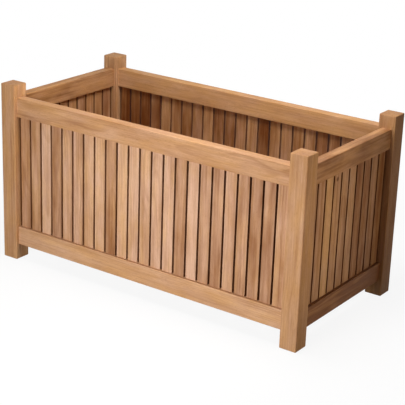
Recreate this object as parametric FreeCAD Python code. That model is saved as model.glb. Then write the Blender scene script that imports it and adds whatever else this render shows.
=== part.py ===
import FreeCAD, Part
import math
import os

# Slatted hardwood planter box, in millimetres. The origin is on the ground under the middle of the box,
# X runs along its length, Y from the front to the back and Z up.

# Overall size
length = 1000.0
width = 500.0
height = 520.0

# Posts
post_side = 50.0
post_edge_radius = 2.5
foot_height = 45.0          # clear height under the bottom rails
head_height = 37.0          # post that stands above the top rails

# Rails
rail_thickness = 30.0
rail_height = 55.0
rail_edge_radius = 2.0

# Stub tenons on the rails' ends
tenon_thickness = 12.0
tenon_shoulder = 7.0        # step above and below the tenon
tenon_end_gap = 1.0         # glue room past the tenon's end
mortise_web = 4.0           # wood left between the two mortises that meet in a post
fit_gap = 0.2               # room on each cheek of a tenon or a slat

# Upright slats
slat_width = 33.0
slat_thickness = 12.0
slat_gap = 6.0              # gap aimed at, before it is evened out over the panel
slat_seat_depth = 10.0      # how far the slats are let into the rails
slat_head_gap = 2.0         # room for the slats to swell under the top rails
slat_edge_radius = 1.0
front_node_count = 11       # neighbouring slats are filed together, by twos and a three at this size
end_node_count = 5

# Floor
batten_thickness = 20.0
batten_height = 25.0
batten_lift = 5.0           # batten's underside above the rail's underside
board_count = 9
board_thickness = 15.0
board_gap = 8.0             # drainage gap between two boards
board_end_gap = 2.0         # board's ends to the long rails
floor_post_gap = 1.0        # battens and outer boards to the posts
floor_edge_radius = 1.0

# Countersunk screws
screw_head_diameter = 8.0
screw_shank_diameter = 4.0
screw_tip_length = 4.0
screw_socket_width = 2.5
screw_socket_depth = 2.0
screw_play = 0.1            # room round a screw in its hole
batten_screw_grip = 18.0    # batten screw's length in the rail
board_screw_grip = 14.0     # floor screw's length in the batten

# Derived places
up = FreeCAD.Vector(0, 0, 1)
along = FreeCAD.Vector(1, 0, 0)
center = FreeCAD.Vector(0, 0, 0)
quarter_turn = 90.0
parallel_limit = math.radians(1.0)
long_span = length - 2 * post_side
end_span = width - 2 * post_side
long_distance = (width - post_side) / 2
end_distance = (length - post_side) / 2
bottom_rail_z = foot_height
top_rail_z = height - head_height - rail_height
slat_z = bottom_rail_z + rail_height - slat_seat_depth
slat_length = top_rail_z + slat_seat_depth - slat_head_gap - slat_z
mortise_depth = post_side / 2 - tenon_thickness / 2 - fit_gap - mortise_web
tenon_length = mortise_depth - tenon_end_gap
tenon_height = rail_height - 2 * tenon_shoulder
batten_z = bottom_rail_z + batten_lift
board_z = batten_z + batten_height
rail_inner_y = -long_distance + rail_thickness / 2
floor_span = long_span - 2 * floor_post_gap
board_width = (floor_span - (board_count - 1) * board_gap) / board_count
board_pitch = board_width + board_gap


def box(x0, x1, y0, y1, z0, z1):
    """Block between two corners."""
    return Part.makeBox(x1 - x0, y1 - y0, z1 - z0, FreeCAD.Vector(x0, y0, z0))


def edges_along(shape, direction):
    """Edges of a block that run one way; the others are square to it."""
    chosen = []
    for edge in shape.Edges:
        run = edge.lastVertex().Point - edge.firstVertex().Point
        if run.isParallel(direction, parallel_limit):
            chosen.append(edge)
    return chosen


def turned(shape, quarters):
    """Copy of a shape, turned about the box's upright axis."""
    copy = shape.copy()
    copy.rotate(center, up, quarters * quarter_turn)
    return copy


def screw_form(grip, through, play):
    """Countersunk screw that points down, with its head's top at the origin; play widens it to its hole."""
    head_radius = screw_head_diameter / 2 + play
    shank_radius = screw_shank_diameter / 2 + play
    head_depth = head_radius - shank_radius
    tip_z = -(through + grip) - play
    profile = [
        FreeCAD.Vector(0, 0, 0),
        FreeCAD.Vector(head_radius, 0, 0),
        FreeCAD.Vector(shank_radius, 0, -head_depth),
        FreeCAD.Vector(shank_radius, 0, tip_z + screw_tip_length),
        FreeCAD.Vector(0, 0, tip_z),
        FreeCAD.Vector(0, 0, 0),
    ]
    full_turn = 4 * quarter_turn
    return Part.Face(Part.makePolygon(profile)).revolve(center, up, full_turn)


def screw(grip, through):
    """Countersunk screw with a six-sided socket in its head."""
    side_count = 6
    radius = screw_socket_width / 2 / math.cos(math.pi / side_count)
    ring = []
    for corner in range(side_count + 1):
        angle = 2 * math.pi * corner / side_count
        ring.append(FreeCAD.Vector(radius * math.cos(angle), radius * math.sin(angle), 0))
    socket = Part.Face(Part.makePolygon(ring)).extrude(up * -screw_socket_depth)
    return screw_form(grip, through, 0.0).cut(socket)


def screws_at(form, places):
    """Copies of an upright screw or hole at a list of places."""
    return [form.translated(place) for place in places]


def lying_screws_at(form, places):
    """Copies turned to point at the front, at a list of places."""
    lying = form.copy()
    lying.rotate(center, along, -quarter_turn)
    return [lying.translated(place) for place in places]


def slat_centers(span):
    """Even places of the slats across a panel, with a gap beside each post too."""
    count = round((span - slat_gap) / (slat_width + slat_gap))
    gap = (span - count * slat_width) / (count + 1)
    first = -span / 2 + gap + slat_width / 2
    return [first + number * (slat_width + gap) for number in range(count)]


def board_centers():
    """Places of the floor boards along the box."""
    first = -(board_count - 1) / 2 * board_pitch
    return [first + number * board_pitch for number in range(board_count)]


def batten_screw_places():
    """Heads of the front batten's screws, under the gaps between the boards."""
    y = rail_inner_y + batten_thickness
    z = batten_z + batten_height / 2
    gaps = [center_x + board_pitch / 2 for center_x in board_centers()[:-1]]
    return [FreeCAD.Vector(x, y, z) for x in gaps]


def board_screw_places(center_x):
    """Heads of the two screws that hold a board's front end to the batten."""
    y = rail_inner_y + batten_thickness / 2
    z = board_z + board_thickness
    return [FreeCAD.Vector(center_x + side * board_width / 4, y, z) for side in (-1, 1)]


def post():
    """Front left post, with blind mortises for a long rail and an end rail at both heights."""
    half = post_side / 2
    shape = box(-half, half, -half, half, 0, height)
    shape = shape.makeFillet(post_edge_radius, shape.Edges)
    cheek = tenon_thickness / 2 + fit_gap
    cuts = []
    for rail_z in (bottom_rail_z, top_rail_z):
        low = rail_z + tenon_shoulder - fit_gap
        high = rail_z + rail_height - tenon_shoulder + fit_gap
        cuts.append(box(half - mortise_depth, half, -cheek, cheek, low, high))
        cuts.append(box(-cheek, cheek, half - mortise_depth, half, low, high))
    return shape.cut(cuts)


def rail(span, distance, rail_z, seat_z):
    """Front rail with stub tenons and a mortise for each slat; seat_z is the mortises' lower end."""
    half = rail_thickness / 2
    beam = box(-span / 2, span / 2, -half, half, 0, rail_height)
    beam = beam.makeFillet(rail_edge_radius, edges_along(beam, along))
    reach = span / 2 + tenon_length
    cheek = tenon_thickness / 2
    tenon = box(-reach, reach, -cheek, cheek, tenon_shoulder, tenon_shoulder + tenon_height)
    beam = beam.fuse(tenon).removeSplitter()
    seat_half = slat_width / 2 + fit_gap
    seat_cheek = slat_thickness / 2 + fit_gap
    seats = []
    for x in slat_centers(span):
        seat = box(x - seat_half, x + seat_half, -seat_cheek, seat_cheek, seat_z, seat_z + slat_seat_depth)
        seats.append(seat)
    beam = beam.cut(seats)
    return beam.translated(FreeCAD.Vector(0, -distance, rail_z))


def top_rail(span, distance):
    """Rail whose slat mortises open downwards."""
    return rail(span, distance, top_rail_z, 0.0)


def bottom_rail(span, distance):
    """Rail whose slat mortises open upwards."""
    return rail(span, distance, bottom_rail_z, rail_height - slat_seat_depth)


def slat():
    """One upright slat with eased long edges, standing at the origin."""
    half_width = slat_width / 2
    half_thickness = slat_thickness / 2
    strip = box(-half_width, half_width, -half_thickness, half_thickness, 0, slat_length)
    return strip.makeFillet(slat_edge_radius, edges_along(strip, up))


def slat_bundles(span, distance, node_count):
    """Front panel's slats, sorted from left to right into groups of neighbours."""
    strip = slat()
    centers = slat_centers(span)
    used_nodes = min(node_count, len(centers))
    bundles = [[] for _ in range(used_nodes)]
    for number, x in enumerate(centers):
        bundle = number * used_nodes // len(centers)
        bundles[bundle].append(strip.translated(FreeCAD.Vector(x, -distance, slat_z)))
    return [Part.makeCompound(bundle) for bundle in bundles]


def batten():
    """Front floor batten, with holes for its own screws and pilot holes for the boards' screws."""
    half = floor_span / 2
    bar = box(-half, half, rail_inner_y, rail_inner_y + batten_thickness, batten_z, batten_z + batten_height)
    bar = bar.makeFillet(floor_edge_radius, edges_along(bar, along))
    return bar.cut(batten_screw_holes() + board_screw_holes())


def batten_screw_holes():
    """Holes of the front batten's screws, through the batten and into the rail."""
    hole = screw_form(batten_screw_grip, batten_thickness, screw_play)
    return lying_screws_at(hole, batten_screw_places())


def board_screw_holes():
    """Holes of the screws at the boards' front ends."""
    hole = screw_form(board_screw_grip, board_thickness, screw_play)
    holes = []
    for center_x in board_centers():
        holes += screws_at(hole, board_screw_places(center_x))
    return holes


def floor_board(center_x):
    """One floor board across the box, lying on both battens and held by two screws at each end."""
    reach = -rail_inner_y - board_end_gap
    half = board_width / 2
    plank = box(center_x - half, center_x + half, -reach, reach, board_z, board_z + board_thickness)
    across = up.cross(along)
    plank = plank.makeFillet(floor_edge_radius, edges_along(plank, across))
    hole = screw_form(board_screw_grip, board_thickness, screw_play)
    front_holes = screws_at(hole, board_screw_places(center_x))
    back_holes = [turned(drill, 2) for drill in screws_at(hole, board_screw_places(-center_x))]
    return plank.cut(front_holes + back_holes)


def floor_screws():
    """All the screws that hold the boards to the two battens."""
    form = screw(board_screw_grip, board_thickness)
    front = []
    for center_x in board_centers():
        front += screws_at(form, board_screw_places(center_x))
    return Part.makeCompound(front + [turned(piece, 2) for piece in front])


def batten_screws():
    """All the screws that hold the two battens to the long bottom rails."""
    front = lying_screws_at(screw(batten_screw_grip, batten_thickness), batten_screw_places())
    return Part.makeCompound(front + [turned(piece, 2) for piece in front])


def planter():
    """Every piece of the planter by its name. A side is made at the front and turned into its place."""
    pieces = {}
    corner = post().translated(FreeCAD.Vector(-end_distance, -long_distance, 0))
    pieces["front_left_post"] = corner
    pieces["back_right_post"] = turned(corner, 2)
    other_corner = post()
    other_corner.rotate(center, up, quarter_turn)
    other_corner = other_corner.translated(FreeCAD.Vector(end_distance, -long_distance, 0))
    pieces["front_right_post"] = other_corner
    pieces["back_left_post"] = turned(other_corner, 2)

    long_top = top_rail(long_span, long_distance)
    long_bottom = bottom_rail(long_span, long_distance).cut(batten_screw_holes())
    long_slats = slat_bundles(long_span, long_distance, front_node_count)
    end_top = top_rail(end_span, end_distance)
    end_bottom = bottom_rail(end_span, end_distance)
    end_slats = slat_bundles(end_span, end_distance, end_node_count)
    sides = [
        ("front", 0, long_top, long_bottom, long_slats),
        ("right", 1, end_top, end_bottom, end_slats),
        ("back", 2, long_top, long_bottom, long_slats),
        ("left", 3, end_top, end_bottom, end_slats),
    ]
    for side, quarters, top, bottom, slats in sides:
        pieces[f"{side}_top_rail"] = turned(top, quarters)
        pieces[f"{side}_bottom_rail"] = turned(bottom, quarters)
        for number, bundle in enumerate(slats, 1):
            pieces[f"{side}_slats_{number:02d}"] = turned(bundle, quarters)

    pieces["front_batten"] = batten()
    pieces["back_batten"] = turned(batten(), 2)
    for number, center_x in enumerate(board_centers(), 1):
        pieces[f"floor_board_{number:02d}"] = floor_board(center_x)
    pieces["batten_screws"] = batten_screws()
    pieces["floor_screws"] = floor_screws()
    return pieces


os.makedirs("parts", exist_ok=True)
for name, shape in planter().items():
    shape.exportStep(f"parts/{name}.step")
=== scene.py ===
import math

import bmesh
import bpy
from mathutils import Color, Matrix, Vector


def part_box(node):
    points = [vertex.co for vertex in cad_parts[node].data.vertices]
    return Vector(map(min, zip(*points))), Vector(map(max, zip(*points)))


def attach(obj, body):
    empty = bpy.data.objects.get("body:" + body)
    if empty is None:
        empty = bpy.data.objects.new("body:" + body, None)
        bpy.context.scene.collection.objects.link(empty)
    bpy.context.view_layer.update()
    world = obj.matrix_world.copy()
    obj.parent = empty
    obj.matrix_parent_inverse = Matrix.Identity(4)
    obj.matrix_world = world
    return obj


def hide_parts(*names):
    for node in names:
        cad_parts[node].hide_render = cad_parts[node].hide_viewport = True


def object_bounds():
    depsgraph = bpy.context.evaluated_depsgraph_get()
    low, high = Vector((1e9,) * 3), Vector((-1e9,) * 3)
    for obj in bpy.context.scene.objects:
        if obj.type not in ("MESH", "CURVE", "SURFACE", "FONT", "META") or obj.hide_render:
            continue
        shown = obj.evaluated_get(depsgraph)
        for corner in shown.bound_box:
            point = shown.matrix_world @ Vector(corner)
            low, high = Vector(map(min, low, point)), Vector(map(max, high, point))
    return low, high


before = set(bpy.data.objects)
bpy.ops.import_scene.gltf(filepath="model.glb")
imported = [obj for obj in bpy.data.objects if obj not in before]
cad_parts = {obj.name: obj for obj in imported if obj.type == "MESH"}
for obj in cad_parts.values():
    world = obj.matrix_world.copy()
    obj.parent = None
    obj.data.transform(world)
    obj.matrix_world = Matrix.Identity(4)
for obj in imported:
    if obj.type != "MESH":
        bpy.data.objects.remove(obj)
cad_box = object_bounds()


# Posts
# Four square corner posts of solid teak, planed, sanded and left bare, with all their edges eased. Blind
# mortises in their inner faces take the rails' stub tenons. A band beside each panel gets painted shade, for
# the narrow gap there, and so does the back right post's outer face at the right end of the box.

post_edge = 0.0025
edge_steps = 3
round_profile = 0.5
tenon_thickness = 0.012
tenon_shoulder = 0.007
cheek_room = 0.0002
glue_room = 0.001
lengthways = 0
crossways = 1
upright = 2
run_of_side = {"front": lengthways, "back": lengthways, "left": crossways, "right": crossways}
no_knot = Vector((9.0, 9.0, 9.0))

# How much of a face's normal lies along an axis when the face is flat, square to the axis, or end grain
flat_face = 0.999
square_face = 0.9
end_face = 0.7


def planed_block(low, high, edge_radius=0.0, along=None):
    """Block between two corners, with its edges eased: all of them, or those that run along one axis."""
    block = bmesh.new()
    bmesh.ops.create_cube(block, size=1)
    bmesh.ops.scale(block, vec=high - low, verts=block.verts)
    bmesh.ops.translate(block, vec=(low + high) / 2, verts=block.verts)
    if edge_radius:
        edges = []
        for edge in block.edges:
            run = edge.verts[1].co - edge.verts[0].co
            if along is None or abs(run[along]) > run.length / 2:
                edges.append(edge)
        bmesh.ops.bevel(
            block,
            geom=edges,
            offset=edge_radius,
            offset_type="OFFSET",
            segments=edge_steps,
            profile=round_profile,
            affect="EDGES",
        )
    return block


def add_piece(name, form):
    """Object of that name from a bmesh."""
    mesh = bpy.data.meshes.new(name)
    form.to_mesh(mesh)
    form.free()
    piece = bpy.data.objects.new(name, mesh)
    bpy.context.scene.collection.objects.link(piece)
    return piece


def settle(piece):
    """Turns a piece and its modifiers into a plain mesh."""
    depsgraph = bpy.context.evaluated_depsgraph_get()
    mesh = bpy.data.meshes.new_from_object(
        piece.evaluated_get(depsgraph), preserve_all_data_layers=True, depsgraph=depsgraph
    )
    mesh.name = piece.name
    piece.modifiers.clear()
    piece.data = mesh


def carve(piece, tool, operation="DIFFERENCE"):
    """Cuts a bmesh out of a piece, or joins it on."""
    cutter = add_piece("cutter", tool)
    cut = piece.modifiers.new("carve", "BOOLEAN")
    cut.operation = operation
    cut.solver = "EXACT"
    cut.object = cutter
    settle(piece)
    bpy.data.objects.remove(cutter)


def add_to(form, block):
    """Puts one bmesh into another, and frees it."""
    mesh = bpy.data.meshes.new("block")
    block.to_mesh(mesh)
    block.free()
    form.from_mesh(mesh)
    bpy.data.meshes.remove(mesh)


def soften(piece):
    """Eased edges shade smoothly into the flat faces beside them."""
    for face in piece.data.polygons:
        face.use_smooth = max(abs(share) for share in face.normal) < flat_face
    piece.modifiers.new("soft_edges", "WEIGHTED_NORMAL")
    settle(piece)


def lay_grain(piece, along):
    """Each point's place in its timber, along the grain first, and which faces show end grain."""
    mesh = piece.data
    low = Vector(piece.bound_box[0])
    high = Vector(piece.bound_box[6])
    middle = (low + high) / 2
    grain = mesh.attributes.new("grain", "FLOAT_VECTOR", "POINT")
    for vertex, mark in zip(mesh.vertices, grain.data):
        place = vertex.co - middle
        mark.vector = (place[along], place[(along + 1) % 3], place[(along + 2) % 3])
    end_grain = mesh.attributes.new("end_grain", "FLOAT", "FACE")
    for face, mark in zip(mesh.polygons, end_grain.data):
        mark.value = float(abs(face.normal[along]) > end_face)


def mark_timber(piece, tone, blush, heart):
    """A knotless timber's tone, from 0 for dark to 1 for pale, its blush, from -1 for golden to 1 for
    pink, and where its tree's heart lies. The end rails' tones hold painted shade too."""
    mesh = piece.data
    count = len(mesh.vertices)
    mesh.attributes.new("tone", "FLOAT", "POINT").data.foreach_set("value", [tone] * count)
    mesh.attributes.new("blush", "FLOAT", "POINT").data.foreach_set("value", [blush] * count)
    mesh.attributes.new("heart", "FLOAT_VECTOR", "POINT").data.foreach_set("vector", list(heart) * count)
    mesh.attributes.new("knot", "FLOAT_VECTOR", "POINT").data.foreach_set("vector", list(no_knot) * count)


def put(tree, kind, inputs=None, **settings):
    """Adds a node to a tree. Each input gets a value or is joined to another node's output."""
    made = tree.nodes.new(kind)
    for name, value in settings.items():
        setattr(made, name, value)
    for name, value in (inputs or {}).items():
        if isinstance(value, bpy.types.NodeSocket):
            tree.links.new(value, made.inputs[name])
        else:
            made.inputs[name].default_value = value
    return made


def paint(red, green, blue):
    """Colour of a socket from everyday amounts out of 255."""
    return (*Color((red / 255, green / 255, blue / 255)).from_srgb_to_scene_linear(), 1.0)


# A Mix node's two colours and its mixed colour, by socket number
first_colour = 6
second_colour = 7
mixed_colour = 2

# The share of a place in its timber that lies across the grain
across_only = (0, 1, 1)


def teak(name, tints, ring_width, line_depth, roughness):
    """Bare teak. tints run from the darkest board to the palest, and line_depth is the figure's contrast."""
    material = bpy.data.materials.new(name)
    material.use_nodes = True
    tree = material.node_tree
    tree.nodes.clear()
    most_noise = (0.3, 0.7)
    middle_noise = (0.5, 0.5, 0.5)

    def mark(attribute, output):
        return put(tree, "ShaderNodeAttribute", attribute_name=attribute).outputs[output]

    def vector(operation, *values, output="Vector"):
        return put(tree, "ShaderNodeVectorMath", dict(enumerate(values)), operation=operation).outputs[output]

    def number(operation, *values):
        return put(tree, "ShaderNodeMath", dict(enumerate(values)), operation=operation).outputs[0]

    def spread(value, span, result, fade="LINEAR"):
        inputs = {
            "Value": value,
            "From Min": span[0],
            "From Max": span[1],
            "To Min": result[0],
            "To Max": result[1],
        }
        return put(tree, "ShaderNodeMapRange", inputs, interpolation_type=fade).outputs["Result"]

    def streaks(along, across, detail, output="Fac"):
        drawn = vector("MULTIPLY", own, (along, across, across))
        inputs = {"Vector": drawn, "Scale": 1.0, "Detail": detail, "Roughness": 0.55}
        return put(tree, "ShaderNodeTexNoise", inputs).outputs[output]

    def darken(colour, tint, share):
        inputs = {"Factor": share, first_colour: colour, second_colour: (*tint, 1.0)}
        mix = put(tree, "ShaderNodeMix", inputs, data_type="RGBA", blend_type="MULTIPLY")
        return mix.outputs[mixed_colour]

    # Place in the tree: along the grain, and out from the heart. A slow sway makes the figure, and the grain
    # swirls round a knot
    sway_reach = 0.04
    swirl_reach = 0.012
    swirl_radius = 0.03
    grain = mark("grain", "Vector")
    own = vector("SUBTRACT", grain, mark("heart", "Vector"))
    knot_distance = vector("DISTANCE", grain, mark("knot", "Vector"), output="Value")
    sway = vector("SUBTRACT", streaks(along=2.2, across=6.0, detail=2.0, output="Color"), middle_noise)
    sway = vector("MULTIPLY", sway, (0, sway_reach, sway_reach))
    across_grain = vector("MULTIPLY", vector("ADD", own, sway), across_only)
    swirl = spread(knot_distance, (0.0, swirl_radius), (swirl_reach, 0.0), "SMOOTHERSTEP")
    reach = number("ADD", vector("LENGTH", across_grain, output="Value"), swirl)

    # Yearly rings: soft early wood that deepens to a dark late line. Years differ, and the lines come and go
    late_start = 0.35
    late_peak = 0.85
    faintest_year = 0.1
    faintest_stretch = 0.2
    stretch_ends = (0.35, 0.65)
    years = number("DIVIDE", reach, ring_width)
    season = number("FRACT", years)
    late_rise = spread(season, (late_start, late_peak), (0.0, 1.0), "SMOOTHSTEP")
    late_fall = spread(season, (late_peak, 1.0), (1.0, 0.0), "SMOOTHSTEP")
    late = number("MULTIPLY", late_rise, late_fall)
    whole_year = number("FLOOR", years)
    year = put(tree, "ShaderNodeTexWhiteNoise", {"W": whole_year}, noise_dimensions="1D").outputs["Value"]
    stretch = streaks(along=3.0, across=14.0, detail=1.0)
    lines = number("MULTIPLY", late, spread(year, (0.0, 1.0), (faintest_year, 1.0)))
    lines = number("MULTIPLY", lines, spread(stretch, stretch_ends, (faintest_stretch, 1.0)))

    # Streaks, fibres and open pores along the grain
    pore_edge = (0.6, 0.68)
    late_wood_pores = 0.35
    cloud = streaks(along=9.0, across=30.0, detail=2.0)
    drift = streaks(along=11.0, across=40.0, detail=2.0)
    band = streaks(along=3.2, across=70.0, detail=2.0)
    streak = streaks(along=6.0, across=260.0, detail=3.0)
    fibre = streaks(along=40.0, across=1300.0, detail=2.0)
    pore = streaks(along=110.0, across=2300.0, detail=1.0)
    fewer_late = spread(late, (0.0, 1.0), (1.0, late_wood_pores))
    pores = number("MULTIPLY", spread(pore, pore_edge, (0.0, 1.0)), fewer_late)

    # Colour: the board's own, made golden in places, and darkened by the figure, the pores and painted shade
    # on the faces marked for it
    tone_wander = 0.16
    blush_wander = 0.9
    streak_ends = (0.4, 0.7)
    fibre_ends = (0.35, 0.7)
    fibre_depth = 0.6
    pore_depth = 0.5
    knot_ends = (0.003, 0.008)
    knot_depth = 0.9
    golden = (1.0, 0.94, 0.68)
    late_brown = (0.62, 0.52, 0.44)
    streak_brown = (0.78, 0.70, 0.62)
    fibre_brown = (0.80, 0.74, 0.68)
    pore_brown = (0.45, 0.34, 0.25)
    end_brown = (0.84, 0.80, 0.74)
    # Tint of the painted shade on faces marked for it
    painted_shade_brown = (0.50, 0.40, 0.32)
    knot_brown = (0.30, 0.20, 0.13)
    board_tone = mark("tone", "Fac")
    for noise in (cloud, band):
        board_tone = number("ADD", board_tone, spread(noise, most_noise, (-tone_wander, tone_wander)))
    ramp = put(tree, "ShaderNodeValToRGB", {"Fac": board_tone})
    stops = ramp.color_ramp.elements
    stops[0].position = 0.0
    stops[0].color = tints[0]
    stops[1].position = 1.0
    stops[1].color = tints[-1]
    for place, tint in enumerate(tints[1:-1], 1):
        stops.new(place / (len(tints) - 1)).color = tint
    board_blush = mark("blush", "Fac")
    board_blush = number("ADD", board_blush, spread(drift, most_noise, (-blush_wander, blush_wander)))
    knot_shade = spread(knot_distance, knot_ends, (knot_depth, 0.0), "SMOOTHSTEP")
    colour = ramp.outputs["Color"]
    colour = darken(colour, golden, spread(board_blush, (-1.0, 1.0), (1.0, 0.0)))
    colour = darken(colour, late_brown, number("MULTIPLY", lines, line_depth))
    colour = darken(colour, streak_brown, spread(streak, streak_ends, (0.0, line_depth)))
    colour = darken(colour, fibre_brown, spread(fibre, fibre_ends, (0.0, fibre_depth)))
    colour = darken(colour, pore_brown, number("MULTIPLY", pores, pore_depth))
    colour = darken(colour, end_brown, mark("end_grain", "Fac"))
    colour = darken(colour, painted_shade_brown, mark("sawn_edge", "Fac"))
    colour = darken(colour, knot_brown, knot_shade)

    # Sanded surface: fibres and late lines stand a little proud, and pores stay open
    smoother = 0.06
    rougher = 0.08
    pore_roughness = 0.1
    line_height = 0.4
    fibre_rough = spread(fibre, most_noise, (roughness - smoother, roughness + rougher))
    rough = number("ADD", fibre_rough, number("MULTIPLY", pores, pore_roughness))
    height = number("ADD", fibre, number("MULTIPLY", lines, line_height))
    height = number("SUBTRACT", height, pores)
    bump = put(tree, "ShaderNodeBump", {"Height": height, "Strength": 0.35, "Distance": 0.0004})
    surface_inputs = {
        "Base Color": colour,
        "Roughness": rough,
        "Specular IOR Level": 0.2,
        "Normal": bump.outputs["Normal"],
    }
    surface = put(tree, "ShaderNodeBsdfPrincipled", surface_inputs)
    put(tree, "ShaderNodeOutputMaterial", {"Surface": surface.outputs["BSDF"]})
    return material


def tenon_bar(side, level, side_room=0.0, end_room=0.0):
    """Corners of the bar whose two ends are a rail's tenons, with room added round it."""
    low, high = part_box(f"{side}_{level}_rail")
    run = run_of_side[side]
    through = 1 - run
    middle = (low[through] + high[through]) / 2
    low[run] -= end_room
    high[run] += end_room
    low[through] = middle - tenon_thickness / 2 - side_room
    high[through] = middle + tenon_thickness / 2 + side_room
    low.z += tenon_shoulder - side_room
    high.z -= tenon_shoulder - side_room
    return low, high


def panel_band(side):
    """Corners of the space that a side's panel fills between its rails."""
    low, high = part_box(f"{side}_slats_01")
    low.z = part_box(f"{side}_bottom_rail")[1].z
    high.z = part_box(f"{side}_top_rail")[0].z
    return low, high


def paint_shade_bands(post, sides):
    """Parts a post's inner faces at the edges of the panels beside it, and marks the bands that face them for
    painted shade.
    """
    form = bmesh.new()
    form.from_mesh(post.data)
    for side in sides:
        for corner in panel_band(side):
            for axis in (1 - run_of_side[side], upright):
                square_to = Vector((0, 0, 0))
                square_to[axis] = 1
                whole = form.verts[:] + form.edges[:] + form.faces[:]
                bmesh.ops.bisect_plane(form, geom=whole, plane_co=corner, plane_no=square_to)
    form.to_mesh(post.data)
    form.free()
    # The bands beside the panels get painted shade, for the narrow gaps there.
    sawn_edge = post.data.attributes.new("sawn_edge", "FLOAT", "FACE")
    for side in sides:
        run = run_of_side[side]
        low, high = panel_band(side)
        for face, mark in zip(post.data.polygons, sawn_edge.data):
            inward = -face.normal[run] * math.copysign(1, face.center[run])
            beside = all(low[axis] < face.center[axis] < high[axis] for axis in (1 - run, upright))
            if inward > square_face and beside:
                mark.value = 1.0


post_tints = [paint(146, 100, 64), paint(186, 142, 107), paint(201, 158, 122), paint(214, 173, 140)]
post_teak = teak("post_teak", post_tints, ring_width=0.0042, line_depth=0.72, roughness=0.62)
post_growth_and_shade = {
    "front_left": (0.52, 0.1, Vector((0.3, 0.06, 0.08)), 0.0),
    "front_right": (0.56, 0.2, Vector((-1.7, 0.02, -0.08)), 0.0),
    "back_left": (0.66, 0.1, Vector((2.9, -0.07, 0.03)), 0.0),
    "back_right": (0.46, 0.0, Vector((-4.1, 0.03, 0.08)), 0.6),
}
for corner, (tone, blush, heart, outer_face_shade) in post_growth_and_shade.items():
    node = f"{corner}_post"
    post = add_piece(f"{node}_teak", planed_block(*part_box(node), post_edge))
    mortises = bmesh.new()
    for side in corner.split("_"):
        for level in ("bottom", "top"):
            add_to(mortises, planed_block(*tenon_bar(side, level, cheek_room, glue_room)))
    carve(post, mortises)
    paint_shade_bands(post, corner.split("_"))
    # Painted shade on the back right post's outer face at the right end of the box.
    for face, mark in zip(post.data.polygons, post.data.attributes["sawn_edge"].data):
        outward = face.normal.x * math.copysign(1, face.center.x)
        if outward > square_face:
            mark.value = outer_face_shade
    soften(post)
    lay_grain(post, upright)
    mark_timber(post, tone, blush, heart)
    post.data.materials.append(post_teak)
    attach(post, "root")
    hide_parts(node)


# Rails
# Two teak rails on each side, shouldered between the posts, with stub tenons glued into them. Their long
# corners are eased. The edge that faces the panel has a mortise for each slat, and gets painted shade.

rail_edge = 0.002
slat_width = 0.033
slat_thickness = 0.012
slat_seat_depth = 0.010
cutter_spill = 0.005
# Share of painted shade on the rail faces toward the panel
inner_edge_shade = 0.55
toward_panel = {"bottom": 1, "top": -1}
slat_count = {"front": 23, "back": 23, "left": 10, "right": 10}
slat_node_count = {"front": 11, "back": 11, "left": 5, "right": 5}


def slat_nodes(side):
    """Names of the frame's nodes that hold a side's slats."""
    return [f"{side}_slats_{number:02d}" for number in range(1, slat_node_count[side] + 1)]


def slat_row(side):
    """First slat's middle at its foot, and the step from one slat to the next, from low to high."""
    run = run_of_side[side]
    boxes = [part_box(node) for node in slat_nodes(side)]
    low = Vector([min(box[0][axis] for box in boxes) for axis in range(3)])
    high = Vector([max(box[1][axis] for box in boxes) for axis in range(3)])
    first = (low + high) / 2
    first[run] = low[run] + slat_width / 2
    first.z = low.z
    step = Vector((0, 0, 0))
    step[run] = (high[run] - low[run] - slat_width) / (slat_count[side] - 1)
    return first, step


def slat_seats(side, level):
    """Mortises of a rail's slats."""
    run = run_of_side[side]
    rail_low, rail_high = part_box(f"{side}_{level}_rail")
    first, step = slat_row(side)
    half = Vector((0, 0, 0))
    half[run] = slat_width / 2 + cheek_room
    half[1 - run] = slat_thickness / 2 + cheek_room
    seats = bmesh.new()
    for number in range(slat_count[side]):
        low = first + step * number - half
        high = first + step * number + half
        if level == "top":
            low.z = rail_low.z - cutter_spill
            high.z = rail_low.z + slat_seat_depth
        else:
            low.z = rail_high.z - slat_seat_depth
            high.z = rail_high.z + cutter_spill
        add_to(seats, planed_block(low, high))
    return seats


rail_tints = [paint(130, 85, 51), paint(188, 143, 108), paint(202, 158, 122), paint(216, 174, 142)]
rail_teak = teak("rail_teak", rail_tints, ring_width=0.0048, line_depth=0.64, roughness=0.62)
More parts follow.
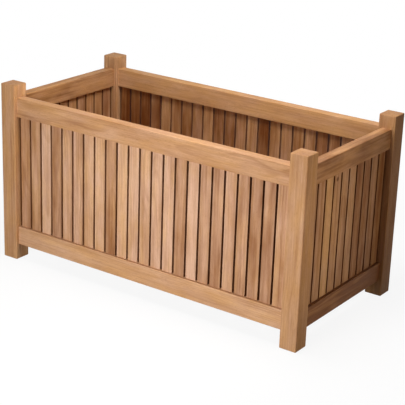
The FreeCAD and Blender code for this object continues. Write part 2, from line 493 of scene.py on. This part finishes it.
# The end rails' tones are set darker, and some blushes more golden, partly as painted shade on the shaded
# ends of the box.
rail_growth_and_shade = {
    "front_top": (0.55, 0.2, Vector((0.0, 0.07, 0.01))),
    "front_bottom": (0.78, 0.3, Vector((3.1, -0.05, 0.08))),
    "back_top": (0.58, -0.4, Vector((-2.2, 0.08, -0.01))),
    "back_bottom": (0.50, 0.2, Vector((5.2, 0.06, 0.03))),
    "left_top": (0.28, -0.7, Vector((-3.6, -0.01, 0.08))),
    "left_bottom": (0.45, 0.2, Vector((1.4, 0.02, 0.07))),
    "right_top": (0.28, 0.0, Vector((4.4, 0.01, 0.09))),
    "right_bottom": (0.0, -0.6, Vector((-5.0, -0.02, 0.07))),
}
post_inner_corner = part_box("front_left_post")[1]
for rail_name, (tone, blush, heart) in rail_growth_and_shade.items():
    side, level = rail_name.split("_")
    node = f"{rail_name}_rail"
    run = run_of_side[side]
    low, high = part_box(node)
    low[run] = post_inner_corner[run]
    high[run] = -post_inner_corner[run]
    rail = add_piece(f"{node}_teak", planed_block(low, high, rail_edge, run))
    carve(rail, planed_block(*tenon_bar(side, level)), "UNION")
    carve(rail, slat_seats(side, level))
    # The rail's face toward the panel gets painted shade.
    sawn_edge = rail.data.attributes.new("sawn_edge", "FLOAT", "FACE")
    for face, mark in zip(rail.data.polygons, sawn_edge.data):
        if face.normal.z * toward_panel[level] > square_face:
            mark.value = inner_edge_shade
    soften(rail)
    lay_grain(rail, run)
    mark_timber(rail, tone, blush, heart)
    rail.data.materials.append(rail_teak)
    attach(rail, "root")
    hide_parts(node)


# Slats
# Thin upright teak slats with narrow gaps between them, 23 in a long panel and 10 in an end panel. They are
# planed to one size, from many boards that differ in tone, and their ends are housed in the rails. Their
# narrow faces, in the gaps, get painted shade, and the back, left and right panels' boards are given darker,
# more golden ranges than the front's, partly as painted shade.

slat_edge = 0.0005


def row_tree():
    """Row of like pieces. Each copy gets its own tone, blush and heart, and one copy may hold a knot."""
    tree = bpy.data.node_groups.new("row_of_pieces", "GeometryNodeTree")
    sockets = {
        "Piece": "NodeSocketObject",
        "Count": "NodeSocketInt",
        "First": "NodeSocketVector",
        "Step": "NodeSocketVector",
        "Turn": "NodeSocketRotation",
        "Darkest": "NodeSocketFloat",
        "Palest": "NodeSocketFloat",
        "Least Blush": "NodeSocketFloat",
        "Most Blush": "NodeSocketFloat",
        "Tone Seed": "NodeSocketInt",
        "Blush Seed": "NodeSocketInt",
        "Heart Seed": "NodeSocketInt",
        "Knotty Copy": "NodeSocketInt",
        "Knot": "NodeSocketVector",
        "Finish": "NodeSocketMaterial",
    }
    for name, kind in sockets.items():
        tree.interface.new_socket(name, in_out="INPUT", socket_type=kind)
    tree.interface.new_socket("Geometry", in_out="OUTPUT", socket_type="NodeSocketGeometry")
    sizes = put(tree, "NodeGroupInput").outputs

    def chance(kind, seed, low, high):
        made = put(tree, "FunctionNodeRandomValue", {"Seed": seed}, data_type=kind)
        limits = [socket for socket in made.inputs if socket.enabled]
        for limit, value in zip(limits, (low, high)):
            if isinstance(value, bpy.types.NodeSocket):
                tree.links.new(value, limit)
            else:
                limit.default_value = value
        return [socket for socket in made.outputs if socket.enabled][0]

    def keep(geometry, name, kind, value):
        inputs = {"Geometry": geometry, "Name": name, "Value": value}
        made = put(tree, "GeometryNodeStoreNamedAttribute", inputs, data_type=kind, domain="INSTANCE")
        return made.outputs["Geometry"]

    # Places in the row, with a copy of the piece at each
    line_inputs = {"Count": sizes["Count"], "Start Location": sizes["First"], "Offset": sizes["Step"]}
    line = put(tree, "GeometryNodeMeshLine", line_inputs)
    piece = put(tree, "GeometryNodeObjectInfo", {"Object": sizes["Piece"], "As Instance": True})
    copy_inputs = {
        "Points": line.outputs["Mesh"],
        "Instance": piece.outputs["Geometry"],
        "Rotation": sizes["Turn"],
    }
    copies = put(tree, "GeometryNodeInstanceOnPoints", copy_inputs).outputs["Instances"]

    # Each copy's own growth
    heart_low = (-6.0, -0.04, 0.04)
    heart_high = (6.0, 0.04, 0.12)
    tone = chance("FLOAT", sizes["Tone Seed"], sizes["Darkest"], sizes["Palest"])
    blush = chance("FLOAT", sizes["Blush Seed"], sizes["Least Blush"], sizes["Most Blush"])
    heart = chance("FLOAT_VECTOR", sizes["Heart Seed"], heart_low, heart_high)
    copy_number = put(tree, "GeometryNodeInputIndex").outputs[0]
    first_whole_number = 2
    second_whole_number = 3
    knotty_inputs = {first_whole_number: copy_number, second_whole_number: sizes["Knotty Copy"]}
    knotty = put(tree, "FunctionNodeCompare", knotty_inputs, data_type="INT", operation="EQUAL").outputs[0]
    knot_inputs = {"Switch": knotty, "False": no_knot, "True": sizes["Knot"]}
    knot = put(tree, "GeometryNodeSwitch", knot_inputs, input_type="VECTOR").outputs[0]
    copies = keep(copies, "tone", "FLOAT", tone)
    copies = keep(copies, "blush", "FLOAT", blush)
    copies = keep(copies, "heart", "FLOAT_VECTOR", heart)
    copies = keep(copies, "knot", "FLOAT_VECTOR", knot)
    plain = put(tree, "GeometryNodeRealizeInstances", {"Geometry": copies}).outputs["Geometry"]
    finished = put(tree, "GeometryNodeSetMaterial", {"Geometry": plain, "Material": sizes["Finish"]})
    put(tree, "NodeGroupOutput", {"Geometry": finished.outputs["Geometry"]})
    return tree


row_of_pieces = row_tree()


def row_of(name, **sizes):
    """Plain mesh object of a row of pieces. The sizes are named as the tree's inputs are, and those that
    aren't given stay at zero."""
    row = add_piece(name, bmesh.new())
    maker = row.modifiers.new("row", "NODES")
    maker.node_group = row_of_pieces
    for socket in row_of_pieces.interface.items_tree:
        size = socket.name.replace(" ", "_").lower()
        if socket.in_out == "INPUT" and size in sizes:
            maker[socket.identifier] = sizes[size]
    settle(row)
    return row


slat_tints = [
    paint(122, 72, 34),
    paint(156, 109, 75),
    paint(185, 141, 110),
    paint(207, 165, 136),
    paint(223, 183, 156),
]
slat_teak = teak("slat_teak", slat_tints, ring_width=0.0036, line_depth=0.7, roughness=0.64)
slat_low, slat_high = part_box("front_slats_01")
slat_half = Vector((slat_width / 2, slat_thickness / 2, 0))
slat_top = Vector((0, 0, slat_high.z - slat_low.z))
slat = add_piece("slat", planed_block(-slat_half, slat_half + slat_top, slat_edge, upright))
soften(slat)
lay_grain(slat, upright)
# The slats' narrow faces, in the gaps between them, get painted shade.
sawn_edge = slat.data.attributes.new("sawn_edge", "FLOAT", "FACE")
for face, mark in zip(slat.data.polygons, sawn_edge.data):
    mark.value = float(abs(face.normal.x) > square_face)
no_copy = -1
knotty_slat = {"front": no_copy, "back": no_copy, "left": no_copy, "right": 3}
slat_knot = Vector((0.147, -0.002, -0.006))
# Each panel's range of tone and blush. The back, left and right ranges are set darker and more golden than
# the front's, partly as painted shade on panels that stand in shade.
slat_tones_and_shade = {
    "front": dict(darkest=0.46, palest=0.96, least_blush=0.0, most_blush=1.1),
    "back": dict(darkest=0.08, palest=0.66, least_blush=-1.2, most_blush=0.2),
    "left": dict(darkest=0.32, palest=0.58, least_blush=-1.1, most_blush=0.0),
    "right": dict(darkest=0.16, palest=1.0, least_blush=-0.8, most_blush=0.6),
}
slat_seeds = {
    "front": dict(tone_seed=9624555, blush_seed=838509, heart_seed=9624555),
    "back": dict(tone_seed=589719, blush_seed=3618007, heart_seed=589719),
    "left": dict(tone_seed=217263, blush_seed=357191, heart_seed=217263),
    "right": dict(tone_seed=804297, blush_seed=445633, heart_seed=804297),
}
for side in slat_tones_and_shade:
    first, step = slat_row(side)
    panel = row_of(
        f"{side}_slats_teak",
        piece=slat,
        count=slat_count[side],
        first=first,
        step=step,
        turn=(0.0, 0.0, run_of_side[side] * math.pi / 2),
        knotty_copy=knotty_slat[side],
        knot=slat_knot,
        finish=slat_teak,
        **slat_tones_and_shade[side],
        **slat_seeds[side],
    )
    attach(panel, "root")
    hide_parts(*slat_nodes(side))
bpy.data.objects.remove(slat)


# Floor battens
# Two teak battens along the insides of the long bottom rails. They carry the floor, and countersunk screws
# through them hold them to the rails.

floor_edge = 0.001
screw_head_radius = 0.004
screw_shank_radius = 0.002
screw_tip_length = 0.004
screw_play = 0.0001
batten_screw_grip = 0.018
board_screw_grip = 0.014
lathe_steps = 24
lathe_weld = 1e-6


def turned_screw(length, play=0.0):
    """Countersunk screw that points down, with the middle of its head's top at the origin."""
    head = screw_head_radius + play
    shank = screw_shank_radius + play
    outline = [
        (0.0, 0.0),
        (head, 0.0),
        (shank, shank - head),
        (shank, screw_tip_length - length),
        (0.0, -length),
    ]
    screw = bmesh.new()
    points = [screw.verts.new((radius, 0.0, height)) for radius, height in outline]
    edges = [screw.edges.new(pair) for pair in zip(points, points[1:])]
    bmesh.ops.spin(
        screw, geom=points + edges, cent=(0, 0, 0), axis=(0, 0, 1), angle=2 * math.pi, steps=lathe_steps
    )
    bmesh.ops.remove_doubles(screw, verts=screw.verts, dist=lathe_weld)
    bmesh.ops.recalc_face_normals(screw, faces=screw.faces)
    return screw


board_count = 9
board_low, board_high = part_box("floor_board_01")
next_board_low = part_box("floor_board_02")[0]
board_width = board_high.x - board_low.x
board_thickness = board_high.z - board_low.z
board_step = next_board_low.x - board_low.x
first_board_x = (board_low.x + board_high.x) / 2
batten_low, batten_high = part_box("front_batten")
batten_thickness = batten_high.y - batten_low.y
batten_middle_z = (batten_low.z + batten_high.z) / 2
batten_screw_first = Vector((first_board_x + board_step / 2, batten_high.y, batten_middle_z))
batten_screw_count = board_count - 1
batten_screw_length = batten_thickness + batten_screw_grip
to_front = Matrix.Rotation(-math.pi / 2, 4, "X")
to_back = Matrix.Rotation(math.pi / 2, 4, "X")

floor_tints = [paint(150, 103, 68), paint(178, 131, 92), paint(196, 150, 109), paint(208, 163, 124)]
floor_teak = teak("floor_teak", floor_tints, ring_width=0.005, line_depth=0.65, roughness=0.7)
batten_growth = {
    "front": (0.40, 0.2, Vector((1.1, 0.03, 0.04)), to_front),
    "back": (0.55, 0.2, Vector((-2.6, -0.05, 0.03)), to_back),
}
for side, (tone, blush, heart, turn) in batten_growth.items():
    node = f"{side}_batten"
    batten = add_piece(f"{node}_teak", planed_block(*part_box(node), floor_edge, lengthways))
    holes = bmesh.new()
    for number in range(batten_screw_count):
        place = batten_screw_first + Vector((board_step * number, 0, 0))
        if side == "back":
            place.y = -place.y
        hole = turned_screw(batten_screw_length, screw_play)
        hole.transform(Matrix.Translation(place) @ turn)
        add_to(holes, hole)
    carve(batten, holes)
    soften(batten)
    lay_grain(batten, lengthways)
    mark_timber(batten, tone, blush, heart)
    batten.data.materials.append(floor_teak)
    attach(batten, "root")
    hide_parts(node)


# Floor boards
# Nine teak boards across the box, laid on the battens with gaps that let water drain. Two countersunk screws
# hold each end.

board_half = Vector((board_width / 2, (board_high.y - board_low.y) / 2, 0))
board_top = Vector((0, 0, board_thickness))
board_screw_x = board_width / 4
board_screw_y = -(batten_low.y + batten_high.y) / 2
board_screw_length = board_thickness + board_screw_grip
board = add_piece("board", planed_block(-board_half, board_half + board_top, floor_edge, crossways))
holes = bmesh.new()
for x in (-board_screw_x, board_screw_x):
    for y in (-board_screw_y, board_screw_y):
        hole = turned_screw(board_screw_length, screw_play)
        hole.transform(Matrix.Translation((x, y, board_thickness)))
        add_to(holes, hole)
carve(board, holes)
soften(board)
lay_grain(board, crossways)
boards = row_of(
    "floor_boards_teak",
    piece=board,
    count=board_count,
    first=Vector((first_board_x, 0, board_low.z)),
    step=Vector((board_step, 0, 0)),
    turn=(0.0, 0.0, 0.0),
    darkest=0.1,
    palest=0.9,
    least_blush=-0.6,
    most_blush=0.8,
    tone_seed=53,
    blush_seed=54,
    heart_seed=53,
    knotty_copy=3,
    knot=Vector((0.06, 0.007, 0.012)),
    finish=floor_teak,
)
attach(boards, "root")
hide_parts(*[f"floor_board_{number:02d}" for number in range(1, board_count + 1)])
bpy.data.objects.remove(board)


# Screws
# Countersunk stainless steel wood screws with hexagon sockets: sixteen hold the battens to the long rails,
# and thirty-six hold the boards to the battens.

socket_width = 0.0025
socket_depth = 0.002
socket_sides = 6


def stainless_steel():
    """Dull stainless steel, with fine turning marks round the screw's axis."""
    material = bpy.data.materials.new("screw_stainless")
    material.use_nodes = True
    tree = material.node_tree
    tree.nodes.clear()
    marks_per_metre = 5200.0
    smears_per_metre = 300.0
    dark_steel = paint(128, 128, 126)
    pale_steel = paint(164, 164, 161)
    glossiest = 0.42
    dullest = 0.6
    own = put(tree, "ShaderNodeAttribute", attribute_name="grain").outputs["Vector"]
    across_inputs = {0: own, 1: across_only}
    across = put(tree, "ShaderNodeVectorMath", across_inputs, operation="MULTIPLY").outputs["Vector"]
    radius = put(tree, "ShaderNodeVectorMath", {0: across}, operation="LENGTH").outputs["Value"]
    mark_inputs = {"W": radius, "Scale": marks_per_metre, "Detail": 2.0}
    marks = put(tree, "ShaderNodeTexNoise", mark_inputs, noise_dimensions="1D").outputs["Fac"]
    place = put(tree, "ShaderNodeTexCoord").outputs["Object"]
    smear_inputs = {"Vector": place, "Scale": smears_per_metre, "Detail": 2.0}
    smears = put(tree, "ShaderNodeTexNoise", smear_inputs).outputs["Fac"]
    shade_inputs = {"Factor": smears, first_colour: dark_steel, second_colour: pale_steel}
    shade = put(tree, "ShaderNodeMix", shade_inputs, data_type="RGBA").outputs[mixed_colour]
    gloss_inputs = {"Value": marks, "To Min": glossiest, "To Max": dullest}
    gloss = put(tree, "ShaderNodeMapRange", gloss_inputs).outputs["Result"]
    bump = put(tree, "ShaderNodeBump", {"Height": marks, "Strength": 0.15, "Distance": 0.0001})
    surface_inputs = {
        "Base Color": shade,
        "Metallic": 1.0,
        "Roughness": gloss,
        "Normal": bump.outputs["Normal"],
    }
    surface = put(tree, "ShaderNodeBsdfPrincipled", surface_inputs)
    put(tree, "ShaderNodeOutputMaterial", {"Surface": surface.outputs["BSDF"]})
    return material


def screw_piece(length):
    """Screw with its socket, as a piece to repeat."""
    screw = add_piece("screw", turned_screw(length))
    socket_radius = socket_width / 2 / math.cos(math.pi / socket_sides)
    socket = bmesh.new()
    bmesh.ops.create_cone(
        socket,
        cap_ends=True,
        segments=socket_sides,
        radius1=socket_radius,
        radius2=socket_radius,
        depth=2 * socket_depth,
    )
    carve(screw, socket)
    lay_grain(screw, upright)
    return screw


screw_stainless = stainless_steel()
toward_back = {"front": -1, "back": 1}
batten_screw_rows = []
floor_screw_rows = []
for way in toward_back.values():
    place = batten_screw_first.copy()
    place.y *= -way
    batten_screw_rows.append((batten_screw_count, place, way * math.pi / 2))
    for x in (-board_screw_x, board_screw_x):
        place = Vector((first_board_x + x, way * board_screw_y, board_high.z))
        floor_screw_rows.append((board_count, place, 0.0))
screw_groups = {
    "batten_screws": (batten_screw_length, batten_screw_rows),
    "floor_screws": (board_screw_length, floor_screw_rows),
}
for node, (length, rows) in screw_groups.items():
    screw = screw_piece(length)
    screws = bmesh.new()
    for count, first, turn in rows:
        row = row_of(
            "screw_row",
            piece=screw,
            count=count,
            first=first,
            step=Vector((board_step, 0, 0)),
            turn=(turn, 0.0, 0.0),
            finish=screw_stainless,
        )
        screws.from_mesh(row.data)
        bpy.data.objects.remove(row)
    bpy.data.objects.remove(screw)
    group = add_piece(f"{node}_steel", screws)
    group.data.materials.append(screw_stainless)
    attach(group, "root")
    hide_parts(node)


# Studio
# A plain white floor and soft studio light: softboxes in front, overhead and behind, a weak warm one with a
# grid at the right, and a dim fill. The camera sees the floor and the world white, and the floor keeps a
# soft shadow.

floor_reach = 30.0
floor_drop = 0.0005
white = (1.0, 1.0, 1.0, 1.0)


def seen_directly(tree):
    """1 for rays that the camera, a gloss or a glass sends, and 0 for rays that carry light to the object."""
    path = put(tree, "ShaderNodeLightPath").outputs
    seen = path["Is Camera Ray"]
    for ray in ("Is Glossy Ray", "Is Transmission Ray"):
        seen = put(tree, "ShaderNodeMath", {0: seen, 1: path[ray]}, operation="MAXIMUM").outputs[0]
    return seen


def white_floor():
    """White floor that keeps a soft shadow near the planter and burns out to plain white further off."""
    material = bpy.data.materials.new("studio_floor")
    material.use_nodes = True
    tree = material.node_tree
    tree.nodes.clear()
    shadow_white = (0.9, 0.9, 0.9, 1.0)
    warm_bounce = (0.24, 0.20, 0.15, 1.0)
    near_planter = 0.5
    far_off = 1.6
    near_glow = 0.9
    place = put(tree, "ShaderNodeTexCoord").outputs["Object"]
    distance = put(tree, "ShaderNodeVectorMath", {0: place}, operation="LENGTH").outputs["Value"]
    burnt_inputs = {
        "Value": distance,
        "From Min": near_planter,
        "From Max": far_off,
        "To Min": near_glow,
        "To Max": 1.0,
    }
    burnt_out = put(tree, "ShaderNodeMapRange", burnt_inputs, interpolation_type="SMOOTHSTEP").outputs[0]
    glow = put(tree, "ShaderNodeEmission", {"Color": white, "Strength": 1.0}).outputs[0]
    shadowed = put(tree, "ShaderNodeBsdfDiffuse", {"Color": shadow_white}).outputs[0]
    bounce = put(tree, "ShaderNodeBsdfDiffuse", {"Color": warm_bounce}).outputs[0]
    seen = put(tree, "ShaderNodeMixShader", {0: burnt_out, 1: shadowed, 2: glow}).outputs[0]
    surface = put(tree, "ShaderNodeMixShader", {0: seen_directly(tree), 1: bounce, 2: seen}).outputs[0]
    put(tree, "ShaderNodeOutputMaterial", {"Surface": surface})
    return material


floor_form = bmesh.new()
bmesh.ops.create_grid(floor_form, x_segments=1, y_segments=1, size=floor_reach)
bmesh.ops.translate(floor_form, vec=(0, 0, -floor_drop), verts=floor_form.verts)
studio_floor = add_piece("studio_floor", floor_form)
studio_floor.data.materials.append(white_floor())

fill_colour = (1.0, 0.80, 0.60, 1.0)
fill_strength = 0.03
world = bpy.data.worlds.new("studio")
world.use_nodes = True
sky = world.node_tree
sky.nodes.clear()
backdrop = put(sky, "ShaderNodeBackground", {"Color": white, "Strength": 1.0}).outputs[0]
fill = put(sky, "ShaderNodeBackground", {"Color": fill_colour, "Strength": fill_strength}).outputs[0]
mixed = put(sky, "ShaderNodeMixShader", {0: seen_directly(sky), 1: fill, 2: backdrop}).outputs[0]
put(sky, "ShaderNodeOutputWorld", {"Surface": mixed})
bpy.context.scene.world = world


def softbox(name, place, target, width, height, power):
    """Soft lamp on a stand, turned to face a target."""
    lamp = bpy.data.lights.new(name, "AREA")
    lamp.shape = "RECTANGLE"
    lamp.size = width
    lamp.size_y = height
    lamp.energy = power
    stand = bpy.data.objects.new(name, lamp)
    stand.location = place
    stand.rotation_euler = (target - place).to_track_quat("-Z", "Y").to_euler()
    bpy.context.scene.collection.objects.link(stand)
    return lamp


box_middle = (cad_box[0] + cad_box[1]) / 2
softbox("front_softbox", Vector((0.2, -1.7, 0.42)), box_middle, width=0.6, height=0.9, power=24.0)
softbox("overhead_softbox", Vector((0.2, -0.2, 1.5)), box_middle, width=0.6, height=0.6, power=19.0)
side_target = Vector((0.5, -0.2, 0.36))
side_lamp = softbox("side_softbox", Vector((2.2, 0.25, 0.55)), side_target, width=0.3, height=0.4, power=0.8)
side_lamp.color = (1.0, 0.84, 0.60)
side_lamp.spread = math.radians(40.0)
softbox("back_softbox", Vector((-1.35, 1.6, 0.24)), box_middle, width=0.9, height=0.44, power=31.0)


# Camera
# It stands in front and to the right of the planter, a little above it, as in the photograph. Its focal
# length is in pixels of the photograph's 405-pixel frame.

frame_pixels = 405
focal_pixels = 1288.2
camera_place = Vector((1.95796, -2.78374, 1.46061))
camera_yaw = 0.60675
camera_pitch = 0.35078
camera_roll = 0.03582

sight = Vector((
    -math.sin(camera_yaw) * math.cos(camera_pitch),
    math.cos(camera_yaw) * math.cos(camera_pitch),
    -math.sin(camera_pitch),
))
level_right = Vector((math.cos(camera_yaw), math.sin(camera_yaw), 0))
level_up = level_right.cross(sight)
picture_right = math.cos(camera_roll) * level_right + math.sin(camera_roll) * level_up
picture_up = -math.sin(camera_roll) * level_right + math.cos(camera_roll) * level_up
camera_turn = Matrix((picture_right, picture_up, -sight)).transposed().to_4x4()
lens = bpy.data.cameras.new("camera")
lens.sensor_width = 36.0
lens.lens = focal_pixels / frame_pixels * lens.sensor_width
camera = bpy.data.objects.new("camera", lens)
camera.matrix_world = Matrix.Translation(camera_place) @ camera_turn
bpy.context.scene.collection.objects.link(camera)
bpy.context.scene.camera = camera
bpy.context.scene.view_settings.view_transform = "Standard"
